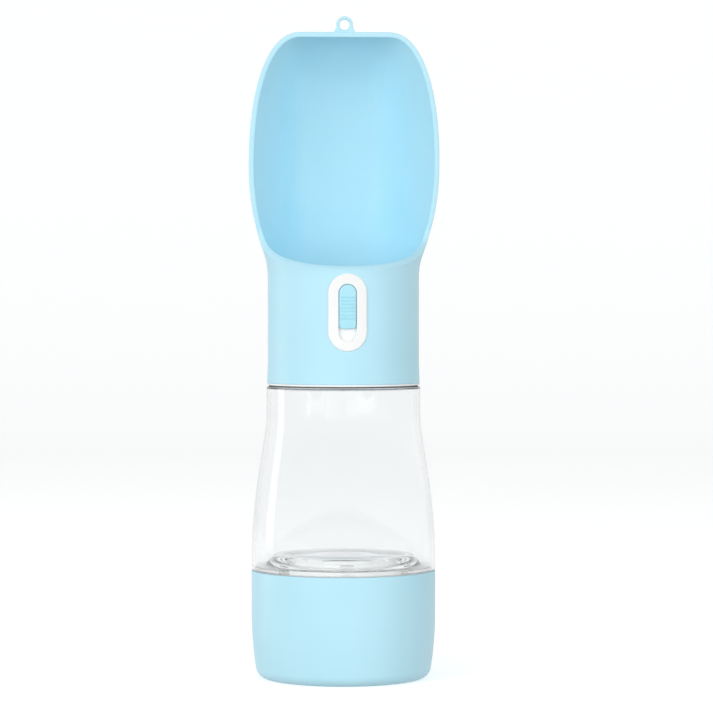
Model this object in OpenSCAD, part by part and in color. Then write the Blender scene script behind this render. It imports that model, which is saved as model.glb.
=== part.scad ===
// Dog travel water bottle: a scoop head with a slide valve, a clear water tank
// and a twist-off food cup. Millimetres, +Z up, the front faces -Y, and the
// origin is the centre of the cup's base.

/* [Food cup] */
// Outside radius of the cup, and of the foot of the tank that stands on it
cup_radius = 37.5; // [35:0.5:42]
// Height of the cup's rim
cup_height = 44.1; // [38:0.5:60]
// Wall of the cup
cup_wall = 1.8; // [1.5:0.1:2.4]
// Thickness of the cup's base
cup_base = 2.2; // [1.6:0.1:4]
// How far the foot draws in from the side
cup_draw = 1.7; // [1:0.1:4]
// Height over which the foot draws in
cup_draw_height = 26; // [12:0.5:32]
// Rounding between base and side
cup_round = 5; // [3:0.5:8]

/* [Cup collar] */
// Outside radius of the mouth collar
collar_radius = 24.5; // [22:0.5:25.5]
// Wall of the mouth collar
collar_wall = 1.8; // [1.4:0.1:2.4]
// Thickness of the plate that carries the collar
collar_plate = 2.2; // [2:0.1:3]
// How far the collar stands up past the cup's rim
collar_rise = 4.7; // [4.5:0.1:7]
// Number of bayonet lugs
lug_count = 6; // [3:1:6]
// Width of one lug, in degrees
lug_angle = 44; // [30:1:44]
// How far a lug stands out of the collar
lug_reach = 1.4; // [1:0.1:1.6]
// Height of a lug
lug_height = 1.6; // [1.2:0.1:1.8]
// Width of one of the tank's locking tabs, in degrees
tab_angle = 12; // [8:1:14]

/* [Seals] */
// Open joint between cup and tank
joint_gap = 0.5; // [0.3:0.1:1]
// Thickness of the seal between cup and tank
cup_seal_height = 1.5; // [1.3:0.1:2]
// Width of that seal
cup_seal_width = 3.6; // [2.5:0.1:4]
// Thickness of the seal on the tank's mouth
mouth_seal_height = 1; // [0.8:0.1:2]
// Height of the white ring between tank and head
head_seal_height = 1.3; // [1:0.1:2.5]
// Thickness of an O-ring
o_ring_section = 1.3; // [1.1:0.1:1.5]

/* [Water tank] */
// Height of the tank from its foot to its shoulder
tank_height = 74.4; // [60:0.5:110]
// How far the tank's waist stands out past the neck above it
waist_proud = 0.55; // [0.4:0.05:1.5]
// Wall of the tank
tank_wall = 1.8; // [1.4:0.1:2.2]
// Height of the straight waist under the shoulder
waist_height = 12; // [6:0.5:20]
// Room between the threaded mouth and the skirt that screws over it
thread_gap = 0.5; // [0.5:0.05:0.8]
// Height of the threaded mouth
mouth_height = 12; // [9:0.5:16]
// Thickness of the tank's floor
floor_thickness = 1.5; // [1.2:0.1:2]

/* [Head] */
// Outside radius of the head's neck
neck_radius = 30.8; // [30.5:0.1:33]
// How far the skirt flares out at its lower edge
skirt_flare = 0.3; // [0:0.1:0.5]
// Wall of the skirt that screws over the mouth
skirt_wall = 2.1; // [1.6:0.1:2.2]
// Wall of the neck above the valve housing
neck_wall = 3.2; // [3:0.1:4]
// Height of the neck from its skirt to the scoop's floor
neck_height = 44.9; // [44:0.1:56]
// Thickness of the scoop's floor
deck_thickness = 2; // [1.6:0.1:2.4]
// Radius of the outlet port in the scoop's floor
port_radius = 4.5; // [3.5:0.1:5]
// How far in front of the bottle's axis the valve stands
valve_offset = 8; // [6:0.5:10]

/* [Scoop] */
// Height of the scoop above its floor
scoop_height = 97; // [80:0.5:120]
// Half the scoop's greatest width
scoop_half_width = 38.7; // [35:0.1:44]
// Height of the widest place above the scoop's floor
scoop_wide_height = 42.8; // [34:0.2:55]
// Half the length of the straight top edge
top_half_width = 17.5; // [12:0.5:22]
// How far the back bulges behind the bottle's axis
scoop_back = 33.5; // [31:0.5:40]
// Width of the rim, and wall of the scoop
scoop_wall = 2.1; // [1.6:0.1:2.6]
// How far in front of the axis the top of the rim leans
rim_lean = 10.5; // [6:0.5:14]
// Where the flat back ends, as a share of the half width
back_share = 0.52; // [0.4:0.02:0.65]
// Radius of the hole in the hanging loop
loop_bore = 2.1; // [1.5:0.1:3]
// Wall of the hanging loop
loop_wall = 1.3; // [1:0.1:2]
// Thickness of the hanging loop from front to back
loop_depth = 2.4; // [2:0.1:3]

/* [Slider] */
// Width of the white bezel
bezel_width = 15.6; // [14:0.1:17]
// Height of the white bezel
bezel_height = 31.1; // [29:0.1:31.5]
// How far the bezel stands out of the neck
bezel_proud = 0.6; // [0.3:0.1:1.2]
// Width of the track in the bezel
track_width = 7.2; // [6.8:0.1:8]
// Height of the track in the bezel
track_height = 22.8; // [22.5:0.1:24]
// Height of the slider cap
cap_height = 17.7; // [16:0.1:18]
// Travel of the slider
slider_travel = 3.2; // [2.5:0.1:3.3]
// Number of grip ribs on the cap
rib_count = 7; // [3:1:7]
// Distance from rib to rib
rib_pitch = 1.4; // [1.2:0.05:1.45]
// How far a rib stands out of the cap
rib_proud = 0.4; // [0.2:0.1:0.6]

/* [Valve] */
// Bore of the valve tube and of the sleeve above it
valve_bore = 7.2; // [7:0.1:8]
// Wall of the valve tube
tube_wall = 2; // [1.6:0.1:2.4]
// Radius of the water way through the spool
water_way = 3.4; // [2.5:0.1:3.6]
// Thickness of the valve housing's plate
plate_thickness = 2.2; // [2:0.1:3]
// Radius of the plug's sealing face
plug_radius = 6.2; // [5.6:0.1:6.4]
// Thickness of the spring's wire
wire = 0.7; // [0.5:0.05:0.8]
// Number of turns in the spring
spring_turns = 4; // [3:0.5:4.5]

/* [Hidden] */
$fn = 96;
blue = "#BDEBFB";
deep_blue = "#A9E4F5";
white = "#FCFCF9";
clear = [0.93, 0.96, 0.97, 0.35];
silicone = "#EEF2F2";
steel = "#C4C8CB";

// Clearances
fit = 0.05;        // between pieces of one body that are pressed or bonded
running = 0.08;    // between the spool and its bore
play = 0.3;        // between pieces that turn or lift past each other
weld_step = 0.6;   // depth of the ledge that a welded plate sits on
eps = 0.01;        // overshoot of a cut

// Heights from the cup up
seam_z = cup_height + joint_gap;
shoulder_z = seam_z + tank_height;
mouth_z = shoulder_z + mouth_height;
skirt_z = shoulder_z + head_seal_height;
plate_z = mouth_z + mouth_seal_height;
ledge_z = plate_z + plate_thickness;
deck_z = skirt_z + neck_height;
deck_under_z = deck_z - deck_thickness;
scoop_top_z = deck_z + scoop_height;

// Radii that follow from the ones above
tank_waist = neck_radius + waist_proud;
skirt_bore = neck_radius - skirt_wall;
mouth_radius = skirt_bore - thread_gap;
mouth_bore = mouth_radius - tank_wall;
neck_bore = neck_radius - neck_wall;
plate_radius = skirt_bore - 0.4;
lug_radius = collar_radius + lug_reach;
recess_radius = lug_radius + 0.4;
collar_top_z = cup_height + collar_rise;
recess_roof_z = collar_top_z + play;
platform_z = recess_roof_z + floor_thickness;
lug_top_z = collar_top_z - play;
lug_z = lug_top_z - lug_height;

// ---------- shared shapes ----------

// Cubic curve through four control values
function curve(a, b, c, d, t) =
    a * (1 - t) ^ 3 + 3 * b * t * (1 - t) ^ 2 + 3 * c * t ^ 2 * (1 - t) + d * t ^ 3;

// Points of an arc about [x, y]
function arc(x, y, r, from, to, steps = 8) =
    [for (i = [0 : steps]) let (a = from + (to - from) * i / steps) [x + r * cos(a), y + r * sin(a)]];

// Upright ring
module ring(outer, inner, z, height) {
    translate([0, 0, z])
        rotate_extrude()
            translate([inner, 0])
                square([outer - inner, height]);
}

// Outline with full round ends, upright in the XZ plane
module stadium(width, height, z) {
    translate([-width / 2, z + width / 2])
        square([width, height - width]);
    translate([0, z + width / 2])
        circle(r = width / 2);
    translate([0, z + height - width / 2])
        circle(r = width / 2);
}

// A flat outline pushed forward from the axis, kept between two radii
module curved_plate(outer, inner, z, height) {
    intersection() {
        rotate([90, 0, 0])
            linear_extrude(height = outer + 5)
                children();
        ring(outer, inner, z, height);
    }
}

// ---------- food cup ----------

cup_foot = cup_radius - cup_draw;
cup_lean = 9;              // how far the side leans out where the rounding ends, in degrees
side_x = cup_foot - cup_round * (1 - cos(cup_lean));
side_z = cup_round * (1 - sin(cup_lean));
side_pull = (cup_draw_height - cup_round) / 4;

// Outside of the cup, drawn in by an inset
function cup_side(inset) = concat(
    arc(cup_foot - cup_round, cup_round, cup_round - inset, -90, -cup_lean),
    [for (i = [1 : 8]) let (t = i / 8) [
        curve(side_x, side_x + side_pull * sin(cup_lean), cup_radius, cup_radius, t) - inset,
        curve(side_z, side_z + side_pull * cos(cup_lean),
            side_z + 0.6 * (cup_draw_height - side_z), cup_draw_height, t)
    ]]
);

collar_ledge_z = cup_height - collar_plate;

module food_cup() {
    color(blue)
        rotate_extrude()
            difference() {
                polygon(concat([[0, 0]], cup_side(0), [[cup_radius, cup_height], [0, cup_height]]));
                polygon(concat(
                    [[0, cup_base]],
                    [for (p = cup_side(cup_wall)) [p[0], max(p[1], cup_base)]],
                    [
                        [cup_radius - cup_wall, collar_ledge_z],
                        [cup_radius - cup_wall + weld_step, collar_ledge_z],
                        [cup_radius - cup_wall + weld_step, cup_height + 1],
                        [0, cup_height + 1]
                    ]
                ));
            }
}

// ---------- cup collar ----------

seal_inner = collar_radius + 5.2;
seal_outer = seal_inner + cup_seal_width;
seal_z = seam_z - cup_seal_height;

module cup_collar() {
    color(silicone) {
        difference() {
            union() {
                ring(cup_radius - cup_wall + weld_step - fit, collar_radius - collar_wall,
                    collar_ledge_z, collar_plate);
                ring(collar_radius, collar_radius - collar_wall,
                    collar_ledge_z, collar_top_z - collar_ledge_z);
                for (i = [0 : lug_count - 1])
                    rotate([0, 0, -90 - lug_angle / 2 + i * 360 / lug_count])
                        translate([0, 0, lug_z])
                            rotate_extrude(angle = lug_angle)
                                translate([collar_radius - 0.5, 0])
                                    square([lug_reach + 0.5, lug_height]);
            }
            ring(seal_outer + fit, seal_inner - fit, seal_z, cup_seal_height);
        }
    }
}

module cup_seal() {
    color(silicone)
        ring(seal_outer, seal_inner, seal_z, cup_seal_height);
}

// ---------- water tank ----------

tank_bore = cup_radius - tank_wall;
waist_z = shoulder_z - waist_height;
foot_straight = 3.4;       // height over which the tank rises straight from its foot
waist_pull = 9;            // how far below the waist the tank already runs straight up
flange_z = seam_z + floor_thickness;

// Outside of the tank from foot to waist, drawn in by an inset
function tank_side(inset) =
    [for (i = [0 : 16]) let (t = i / 16) [
        curve(cup_radius, cup_radius, tank_waist, tank_waist, t) - inset,
        curve(seam_z + foot_straight, (seam_z + waist_z) / 2, waist_z - waist_pull, waist_z, t)
    ]];

module water_tank() {
    color(clear)
        rotate_extrude()
            difference() {
                polygon(concat(
                    [[0, seam_z], [cup_radius, seam_z]],
                    tank_side(0),
                    arc(tank_waist - 0.8, shoulder_z - 0.8, 0.8, 0, 90, 4),
                    [[mouth_radius, shoulder_z], [mouth_radius, mouth_z], [0, mouth_z]]
                ));
                polygon(concat(
                    [
                        [0, seam_z - 1],
                        [tank_bore + weld_step, seam_z - 1],
                        [tank_bore + weld_step, flange_z],
                        [tank_bore, flange_z]
                    ],
                    tank_side(tank_wall),
                    [
                        [tank_waist - tank_wall, shoulder_z - 3.8],
                        [mouth_bore, shoulder_z - 1.4],
                        [mouth_bore, mouth_z + 1],
                        [0, mouth_z + 1]
                    ]
                ));
            }
}

// ---------- tank floor ----------

tab_z = seam_z + 0.1;
tab_top_z = lug_z - play;
shoulder_r = recess_radius + floor_thickness;

module tank_floor() {
    color(clear) {
        rotate_extrude()
            difference() {
                polygon(concat(
                    [[0, seam_z], [tank_bore + weld_step - fit, seam_z]],
                    [[tank_bore + weld_step - fit, flange_z]],
                    [for (i = [0 : 8]) let (t = i / 8) [
                        curve(tank_bore - 1.5, shoulder_r + 2.6, shoulder_r + 2.2, shoulder_r - 0.6, t),
                        curve(flange_z, flange_z + 0.4, platform_z, platform_z, t)
                    ]],
                    [[0, platform_z]]
                ));
                translate([-eps, seam_z - 1])
                    square([recess_radius + eps, recess_roof_z - seam_z + 1]);
            }
        for (i = [0 : lug_count - 1])
            rotate([0, 0, -90 - tab_angle / 2 + i * 360 / lug_count])
                translate([0, 0, tab_z])
                    rotate_extrude(angle = tab_angle)
                        translate([collar_radius + play, 0])
                            square([recess_radius - collar_radius - play + 0.5, tab_top_z - tab_z]);
    }
}

// ---------- seals under the head ----------

module head_seal() {
    color(white)
        rotate_extrude()
            polygon([
                [mouth_radius + play, shoulder_z],
                [neck_radius - 0.6, shoulder_z],
                [neck_radius - 0.6, shoulder_z + 0.5],
                [neck_radius + skirt_flare, shoulder_z + 0.5],
                [neck_radius + skirt_flare, skirt_z],
                [mouth_radius + play, skirt_z]
            ]);
}

module mouth_seal() {
    color(silicone)
        ring(mouth_radius, mouth_bore - 1, mouth_z, mouth_seal_height);
}

// ---------- scoop ----------

lip_share = 0.03;          // where on the lower curve the front lip lies
lip_rise = 2;              // how much higher the lip is inside than outside
lower_rows = 10;           // rows of points from the lip to the widest place
upper_rows = 9;            // rows from there to the top edge
half_columns = 16;         // points from the middle of the back to the rim
shape_power = 2.25;        // squareness of the scoop's shoulders
lip_power = 2;             // squareness of the rim's lower bow
lip_bow = 17;              // height of that bow
corner_power = 6;          // sharpness of the soft corners of the back
blend_height = 26;         // height over which the round neck becomes a trough
rim_start = 4;             // how far in front of the axis the sides' rim starts
crown = 2.5;               // depth of the top edge from front to back
foot_sink = 0.3;           // how deep the scoop's foot is sunk into its floor
foot_radius = neck_radius - 0.15; // radius of that foot, just inside the neck's edge
wide_z = deck_z + scoop_wide_height;

// Eased step from 0 to 1
function ease(u) = let (c = min(1, max(0, u))) c * c * (3 - 2 * c);

// Parameter of each row: 0 to 1 up to the widest place, 1 to 2 above it
function row_share(j) =
    j == 0 ? 0
    : j <= lower_rows + 1 ? lip_share + (1 - lip_share) * ((j - 1) / lower_rows) ^ 2
    : 1 + (j - lower_rows - 1) / upper_rows;

// Half width, height and back of a row, with the wall taken off as inset
function row_size(s, inset) =
    s <= 1
    ? [
        curve(foot_radius, foot_radius, scoop_half_width, scoop_half_width, s) - inset,
        curve(deck_z - foot_sink, deck_z + 0.165 * scoop_wide_height,
            deck_z + 0.45 * scoop_wide_height, wide_z, s)
            + (inset > 0 && s > 0 ? lip_rise * max(0, 1 - (s - lip_share) / 0.6) : 0),
        curve(foot_radius, foot_radius, scoop_back, scoop_back, s) - 0.9 * inset
    ]
    : let (a = 90 * (s - 1), up = sin(a) ^ (2 / shape_power), out = cos(a) ^ (2 / shape_power)) [
        top_half_width + (scoop_half_width - top_half_width) * out - inset,
        wide_z + (scoop_top_z - wide_z - inset) * up,
        crown - rim_lean + (scoop_back + rim_lean - crown) * out - 0.9 * inset * (0.4 + 0.6 * out)
    ];

// Front-to-back place of the rim at a height
function rim_y(z) =
    -rim_start - (rim_lean - rim_start) * max(0, z - deck_z - lip_bow) / (scoop_height - lip_bow);

// How far the front stands open at a height: 0 at the lip, 1 above the rim's lower bow
function opening(z, low) =
    let (u = min(1, max(0, (z - low) / lip_bow)))
    (1 - (1 - u) ^ lip_power) ^ (1 / lip_power);

// The smaller of two lengths, with a soft corner
function soft_min(a, b) = b <= 0 ? 0 : (a ^ -corner_power + b ^ -corner_power) ^ (-1 / corner_power);

// One point of the scoop: share s up the rows, share t from rim to rim
function scoop_point(s, t, inset) =
    let (
        size = row_size(s, inset),
        w = size[0],
        z = size[1],
        low = row_size(lip_share, inset)[1],
        turn = 180 - 90 * opening(z, low),
        depth = size[2] - rim_y(z),
        side = abs(sin(90 * t)),
        mix = ease((z - low) / blend_height),
        round_p = [w * sin(turn * t), w * cos(turn * t)],
        trough_p = [
            w * sin(90 * t),
            rim_y(z) + soft_min(depth, depth * (1 - side) / (1 - back_share))
        ],
        p = (1 - mix) * round_p + mix * trough_p
    )
    [p[0], p[1], z];

// Open shell of the scoop: an outer and an inner skin joined along the rim
module scoop_shell() {
    rows = lower_rows + upper_rows + 1;
    cols = 2 * half_columns;
    skin = (rows + 1) * (cols + 1);
    points = [
        for (inset = [0, scoop_wall])
            for (j = [0 : rows])
                for (i = [0 : cols])
                    scoop_point(row_share(j), i / half_columns - 1, inset)
    ];
    // The rows below the lip close on themselves at the front
    function at(k, j, i) = k * skin + j * (cols + 1) + (j <= 1 && i == cols ? 0 : i);
    function quad(a, b, c, d) = [[a, b, c], [a, c, d]];
    sides = [
        for (j = [0 : rows - 1])
            for (i = [0 : cols - 1])
                for (f = concat(
                    quad(at(0, j, i), at(0, j, i + 1), at(0, j + 1, i + 1), at(0, j + 1, i)),
                    quad(at(1, j, i), at(1, j + 1, i), at(1, j + 1, i + 1), at(1, j, i + 1))
                )) f
    ];
    foot = [
        for (i = [0 : cols - 1])
            for (f = quad(at(0, 0, i), at(1, 0, i), at(1, 0, i + 1), at(0, 0, i + 1))) f
    ];
    rim = [
        for (j = [1 : rows - 1])
            for (f = concat(
                quad(at(0, j, cols), at(1, j, cols), at(1, j + 1, cols), at(0, j + 1, cols)),
                quad(at(0, j, 0), at(0, j + 1, 0), at(1, j + 1, 0), at(1, j, 0))
            )) f
    ];
    top = concat(
        [[for (i = [0 : cols]) at(0, rows, i)]],
        [[for (i = [0 : cols]) at(1, rows, cols - i)]],
        quad(at(0, rows, 0), at(0, rows, cols), at(1, rows, cols), at(1, rows, 0))
    );
    polyhedron(points, concat(sides, foot, rim, top), convexity = 6);
}

// ---------- head ----------

loop_outer = loop_bore + loop_wall;
loop_z = scoop_top_z + loop_bore + 0.9;
boss_radius = 3.2;
boss_ring = neck_bore - 5.8;
boss_web = 1.6;
pilot = 1.3;
screw_length = 10;
pilot_depth = screw_length - plate_thickness + 2.2;
bezel_z = deck_z - 0.35 - bezel_height;
bezel_seat = neck_bore + 1.3;
track_z = bezel_z + (bezel_height - track_height) / 2 - 0.1;
cap_z = track_z + track_height - 0.15 - cap_height;
arm_height = 4;
arm_width = 3.8;
arm_z = cap_z + 5.3;
arm_slot = arm_width + 0.5;
sleeve_z = arm_z + arm_height + 0.6;
tube_top_z = sleeve_z - 0.2;
tube_radius = valve_bore + tube_wall;
screw_angles = [90, 210, 330];

// Slot that the arm passes through, reaching from the valve to the front
module arm_way(top_z) {
    translate([-arm_slot / 2, -neck_radius - 5, arm_z - slider_travel - play])
        cube([arm_slot, neck_radius + 5 - valve_offset, top_z - arm_z + slider_travel + play]);
}

module hang_loop() {
    front = -rim_lean + 0.3 + loop_depth;
    foot_half = loop_outer + 0.8;
    translate([0, front, 0])
        rotate([90, 0, 0])
            linear_extrude(height = loop_depth)
                difference() {
                    union() {
                        translate([0, loop_z])
                            circle(r = loop_outer);
                        polygon([
                            [-foot_half, scoop_top_z - 1],
                            [foot_half, scoop_top_z - 1],
                            [foot_half, scoop_top_z],
                            [loop_outer * cos(12), loop_z + loop_outer * sin(12)],
                            [-loop_outer * cos(12), loop_z + loop_outer * sin(12)],
                            [-foot_half, scoop_top_z]
                        ]);
                    }
                    translate([0, loop_z])
                        circle(r = loop_bore);
                }
}

module neck_shell() {
    difference() {
        union() {
            rotate_extrude()
                difference() {
                    polygon([
                        [0, skirt_z],
                        [neck_radius + skirt_flare, skirt_z],
                        [neck_radius, skirt_z + 8],
                        [neck_radius, deck_z],
                        [0, deck_z]
                    ]);
                    polygon([
                        [0, skirt_z - 1],
                        [skirt_bore, skirt_z - 1],
                        [skirt_bore, ledge_z],
                        [neck_bore, ledge_z],
                        [neck_bore, deck_under_z],
                        [0, deck_under_z]
                    ]);
                }
            translate([0, -valve_offset, sleeve_z])
                cylinder(r = tube_radius, h = deck_under_z - sleeve_z + eps);
            for (a = screw_angles)
                rotate([0, 0, a]) {
                    translate([boss_ring, 0, ledge_z])
                        cylinder(r = boss_radius, h = deck_under_z - ledge_z + eps);
                    translate([boss_ring, -boss_web / 2, ledge_z])
                        cube([neck_bore - boss_ring + 0.5, boss_web, deck_under_z - ledge_z + eps]);
                }
        }
        translate([0, -valve_offset, sleeve_z - 1])
            cylinder(r = valve_bore, h = deck_under_z - sleeve_z + 1);
        translate([0, -valve_offset, deck_under_z - 1])
            cylinder(r = port_radius, h = deck_thickness + 2);
        for (a = screw_angles)
            rotate([0, 0, a])
                translate([boss_ring, 0, ledge_z - 1])
                    cylinder(r = pilot, h = pilot_depth + 1);
        curved_plate(neck_radius + 3, bezel_seat, bezel_z - 1, bezel_height + 2)
            stadium(bezel_width + 2 * fit, bezel_height + 2 * fit, bezel_z - fit);
        arm_way(arm_z + arm_height + play);
    }
}

module scoop_head() {
    color(blue)
        union() {
            neck_shell();
            scoop_shell();
            hang_loop();
        }
}

// ---------- bezel and slider ----------

bezel_face = neck_radius + bezel_proud;
track_floor = bezel_face - 1.5;

module bezel() {
    color(white)
        difference() {
            curved_plate(bezel_face, bezel_seat + fit, bezel_z - 1, bezel_height + 2)
                stadium(bezel_width, bezel_height, bezel_z);
            curved_plate(bezel_face + 1, track_floor, bezel_z, bezel_height)
                stadium(track_width, track_height, track_z);
            arm_way(arm_z + arm_height + play);
        }
}

cap_half = track_width / 2 - 0.2;
cap_corner = 1.6;
cap_inner = track_floor + 0.1;
cap_face = bezel_face + 0.3;

// Cap outline: round at the top, soft corners at the bottom
module cap_outline() {
    translate([0, cap_z + cap_height - cap_half])
        circle(r = cap_half);
    translate([-cap_half, cap_z + cap_corner])
        square([2 * cap_half, cap_height - cap_half - cap_corner]);
    translate([cap_corner - cap_half, cap_z])
        square([2 * (cap_half - cap_corner), cap_corner]);
    for (side = [-1, 1])
        translate([side * (cap_half - cap_corner), cap_z + cap_corner])
            circle(r = cap_corner);
}

module slider_cap() {
    rib_z = cap_z + cap_height / 2 - (rib_count - 1) * rib_pitch / 2 - 0.4;
    color(deep_blue)
        difference() {
            union() {
                curved_plate(cap_face, cap_inner, cap_z - 1, cap_height + 2)
                    cap_outline();
                for (i = [0 : rib_count - 1])
                    curved_plate(cap_face + rib_proud, cap_face - 0.5, rib_z + i * rib_pitch - 0.3, 0.6)
                        translate([0.5 - cap_half, rib_z + i * rib_pitch - 0.3])
                            square([2 * cap_half - 1, 0.6]);
            }
            translate([-arm_width / 2 - fit, -arm_end - fit, arm_z - fit])
                cube([arm_width + 2 * fit, 4, arm_height + 2 * fit]);
        }
}

arm_end = cap_inner + 0.7;
waist_radius = 4.8;
guide_half = 5.5;
guide_front = neck_bore - 1;
guide_depth = 1.8;
guide_reach = 3.4;

module carriage() {
    color(white) {
        translate([-arm_width / 2, -arm_end, arm_z])
            cube([arm_width, arm_end - valve_offset - waist_radius - play, arm_height]);
        translate([-guide_half, -guide_front, arm_z - guide_reach])
            cube([2 * guide_half, guide_depth, arm_height + 2 * guide_reach]);
    }
}

// ---------- valve ----------

spring_seat_z = plate_z + 1.5;
spool_radius = valve_bore - running;
spool_z = arm_z - 6.4;
groove_height = o_ring_section + 0.2;
groove_radius = valve_bore - o_ring_section - fit;
lower_ring_z = arm_z - slider_travel - play - 1.1;
upper_ring_z = sleeve_z + slider_travel + 1.2;
flange_top_z = upper_ring_z + 1.2;
plug_height = 2.3;
plug_z = deck_under_z - plug_height;
stem_radius = 1.7;
cage_radius = port_radius + 0.1;

module at_valve(z) {
    translate([0, -valve_offset, z])
        children();
}

module valve_housing() {
    color(white)
        difference() {
            union() {
                translate([0, 0, plate_z])
                    cylinder(r = plate_radius, h = plate_thickness);
                at_valve(plate_z + 1)
                    cylinder(r = tube_radius, h = tube_top_z - plate_z - 1);
            }
            at_valve(spring_seat_z)
                cylinder(r = valve_bore, h = tube_top_z);
            at_valve(plate_z - 1)
                cylinder(r = valve_bore - 2.2, h = 5);
            arm_way(tube_top_z + 1);
            for (a = screw_angles)
                rotate([0, 0, a])
                    translate([boss_ring, 0, plate_z - 1])
                        cylinder(r = pilot + 0.1, h = plate_thickness + 2);
        }
}

washer_height = 0.6;
screw_head = 2.6;

module housing_screws() {
    color(steel)
        for (a = screw_angles)
            rotate([0, 0, a])
                translate([boss_ring, 0, plate_z - washer_height])
                    difference() {
                        union() {
                            cylinder(r = pilot - fit, h = screw_length);
                            translate([0, 0, -1.4])
                                cylinder(r = screw_head, h = 1.4);
                        }
                        for (turn = [0, 90])
                            rotate([0, 0, turn])
                                translate([-1.5, -0.3, -1.5])
                                    cube([3, 0.6, 0.8]);
                    }
}

module screw_washers() {
    color(silicone)
        for (a = screw_angles)
            rotate([0, 0, a])
                translate([boss_ring, 0, 0])
                    ring(screw_head, pilot, plate_z - washer_height, washer_height);
}

module valve_spool() {
    color(white)
        at_valve(0)
            difference() {
                union() {
                    translate([0, 0, spool_z])
                        cylinder(r = spool_radius, h = flange_top_z - spool_z);
                    translate([0, 0, flange_top_z - eps])
                        cylinder(r = cage_radius, h = plug_z - flange_top_z + eps);
                    translate([0, 0, plug_z - eps])
                        cylinder(r = stem_radius, h = 1.1);
                }
                translate([0, 0, spool_z - 1])
                    cylinder(r = water_way, h = plug_z - 0.6 - spool_z + 1);
                ring(spool_radius + 1, waist_radius, arm_z - fit, arm_height + 2 * fit);
                for (z = [lower_ring_z, upper_ring_z])
                    ring(spool_radius + 1, groove_radius - fit, z - groove_height / 2, groove_height);
                for (turn = [0, 90])
                    rotate([0, 0, turn])
                        translate([-cage_radius - 1, -1.7, flange_top_z + 0.1])
                            cube([2 * cage_radius + 2, 3.4, plug_z - 0.7 - flange_top_z]);
            }
}

module o_ring(z) {
    color("#3B4043")
        at_valve(z)
            rotate_extrude()
                translate([groove_radius + o_ring_section / 2, 0])
                    circle(r = o_ring_section / 2, $fn = 24);
}

module upper_o_ring() {
    o_ring(upper_ring_z);
}

module lower_o_ring() {
    o_ring(lower_ring_z);
}

module valve_plug() {
    color(silicone)
        at_valve(plug_z)
            difference() {
                union() {
                    cylinder(r = plug_radius, h = plug_height);
                    cylinder(r = port_radius - 0.4, h = plug_height + 1.6);
                }
                translate([0, 0, -1])
                    cylinder(r = stem_radius + fit, h = 2.2);
            }
}

// ---------- return spring ----------

spring_radius = valve_bore - 1.3;
spring_low = spring_seat_z + wire / 2 + eps;
spring_high = spool_z - wire / 2 - eps;

// Wire swept along a helix, one ring of points after another
module return_spring() {
    per_turn = 14;
    sides = 6;
    rings = round(spring_turns * per_turn);
    points = [
        for (k = [0 : rings])
            for (m = [0 : sides - 1])
                let (a = 360 * k / per_turn, b = 360 * m / sides, r = spring_radius + wire / 2 * cos(b))
                [r * cos(a), r * sin(a), curve_height(k / rings) + wire / 2 * sin(b)]
    ];
    walls = [
        for (k = [0 : rings - 1])
            for (m = [0 : sides - 1])
                let (n = (m + 1) % sides, p = k * sides, q = p + sides)
                for (f = [[p + m, p + n, q + n], [p + m, q + n, q + m]]) f
    ];
    ends = [
        [for (m = [0 : sides - 1]) sides - 1 - m],
        [for (m = [0 : sides - 1]) rings * sides + m]
    ];
    color(steel)
        at_valve(0)
            polyhedron(points, concat(walls, ends), convexity = 8);
}

// Height along the wire: level on the seats, steady between them
function curve_height(u) = spring_low + (spring_high - spring_low) * ease((u - 0.1) / 0.8);

food_cup();
cup_collar();
cup_seal();
water_tank();
tank_floor();
head_seal();
mouth_seal();
scoop_head();
bezel();
valve_housing();
housing_screws();
screw_washers();
return_spring();
slider_cap();
carriage();
valve_spool();
upper_o_ring();
lower_o_ring();
valve_plug();
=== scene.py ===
# Dog travel water bottle: scoop head with a slide valve, clear tank, twist-off food cup.
# Sizes below are in millimetres and turned to metres when a mesh is made. The front faces -Y.
import math
import bmesh
import bpy
import numpy as np
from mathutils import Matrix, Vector


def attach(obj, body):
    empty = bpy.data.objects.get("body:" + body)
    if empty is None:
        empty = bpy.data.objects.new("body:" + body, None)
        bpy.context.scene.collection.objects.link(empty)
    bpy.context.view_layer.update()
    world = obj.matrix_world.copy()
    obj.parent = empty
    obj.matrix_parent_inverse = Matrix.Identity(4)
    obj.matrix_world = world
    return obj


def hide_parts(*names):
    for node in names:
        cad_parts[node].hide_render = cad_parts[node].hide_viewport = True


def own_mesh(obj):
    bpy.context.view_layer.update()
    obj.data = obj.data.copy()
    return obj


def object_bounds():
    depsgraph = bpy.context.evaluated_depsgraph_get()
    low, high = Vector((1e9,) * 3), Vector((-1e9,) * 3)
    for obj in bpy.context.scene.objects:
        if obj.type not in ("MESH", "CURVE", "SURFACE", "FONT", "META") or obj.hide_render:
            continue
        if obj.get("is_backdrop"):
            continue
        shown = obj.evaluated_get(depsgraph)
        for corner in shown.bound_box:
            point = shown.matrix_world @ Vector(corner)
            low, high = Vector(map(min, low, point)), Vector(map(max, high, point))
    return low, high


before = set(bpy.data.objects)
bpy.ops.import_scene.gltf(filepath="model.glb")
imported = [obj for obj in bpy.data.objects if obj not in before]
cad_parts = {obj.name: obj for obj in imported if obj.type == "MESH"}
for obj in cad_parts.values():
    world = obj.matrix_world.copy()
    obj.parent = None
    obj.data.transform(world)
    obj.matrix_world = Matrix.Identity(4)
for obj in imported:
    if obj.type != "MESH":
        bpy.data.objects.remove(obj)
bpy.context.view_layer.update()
mm = 0.001
print("frame loaded:", len(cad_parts), "nodes")

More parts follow.
